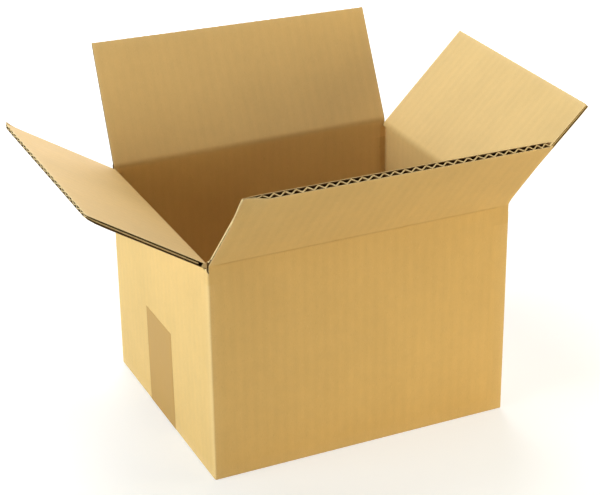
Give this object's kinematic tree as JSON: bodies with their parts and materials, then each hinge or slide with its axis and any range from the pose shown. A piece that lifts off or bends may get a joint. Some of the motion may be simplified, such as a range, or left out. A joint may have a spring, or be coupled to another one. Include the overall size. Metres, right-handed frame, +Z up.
{
  "type": "open cardboard box",
  "caption": "Slotted shipping carton of brown corrugated board, its bottom taped shut and its top flaps spread open, each folding on a crease.",
  "frame": {"origin": "on the floor, under the middle of the box", "axes": "+X along the box's length to the right, +Y to the back, +Z up"},
  "size_m": [0.3756, 0.2956, 0.2519],
  "materials": {
    "kraft_board": "matte",
    "brown_tape": "satin"
  },
  "bodies": {
    "carton": {"carton": "kraft_board", "tape": "brown_tape"},
    "front_flap": {"front_flap": "kraft_board"},
    "back_flap": {"back_flap": "kraft_board"},
    "left_flap": {"left_flap": "kraft_board"},
    "right_flap": {"right_flap": "kraft_board"}
  },
  "joints": [
    {"name": "front_flap_fold", "type": "hinge", "parent": "carton", "child": "front_flap", "pos_m": [0, -0.09615, 0.166], "axis": [1, 0, 0], "range_deg": [-132, 138]},
    {"name": "back_flap_fold", "type": "hinge", "parent": "carton", "child": "back_flap", "pos_m": [0, 0.09615, 0.166], "axis": [-1, 0, 0], "range_deg": [-116, 154]},
    {"name": "left_flap_fold", "type": "hinge", "parent": "carton", "child": "left_flap", "pos_m": [-0.11515, 0, 0.1618], "axis": [0, -1, 0], "range_deg": [-147.5, 122.5]},
    {"name": "right_flap_fold", "type": "hinge", "parent": "carton", "child": "right_flap", "pos_m": [0.11515, 0, 0.1618], "axis": [0, 1, 0], "range_deg": [-135.5, 134.5]}
  ]
}
